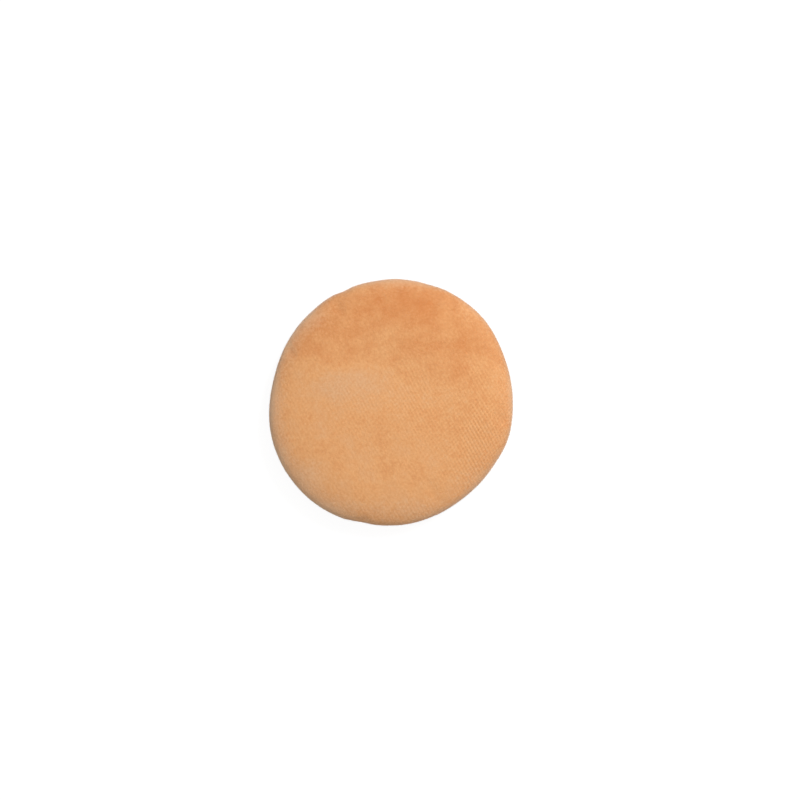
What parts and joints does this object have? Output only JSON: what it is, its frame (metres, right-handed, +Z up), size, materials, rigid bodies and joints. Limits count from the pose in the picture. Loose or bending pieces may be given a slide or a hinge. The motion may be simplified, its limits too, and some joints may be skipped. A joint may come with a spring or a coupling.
{
  "type": "powder puff",
  "caption": "Round padded velour powder puff with a sewn rim, a soft filling and a satin finger ribbon across its back.",
  "frame": {"origin": "under the middle of the puff, on the surface that its back lies on", "axes": "+Z up out of the velour face, the ribbon across the back runs along Y"},
  "size_m": [0.0796, 0.0814, 0.0141],
  "materials": {
    "velour": "short cut cotton pile in faint rows, peach, fully matte with a soft sheen at grazing angles",
    "satin": "smooth woven satin, peach, soft gloss along its width",
    "foam": "open-cell upholstery foam, cream, matte",
    "wadding": "loose bonded fibre sheet, off-white, matte",
    "thread": "twisted sewing thread, dyed to match the velour"
  },
  "bodies": {
    "root": {"face_cover": "velour", "back_cover": "velour", "face_wadding": "wadding", "foam_core": "foam", "back_wadding": "wadding", "finger_ribbon": "satin", "seam_needle_thread": "thread", "seam_bobbin_thread": "thread", "closing_thread": "thread"}
  },
  "joints": []
}
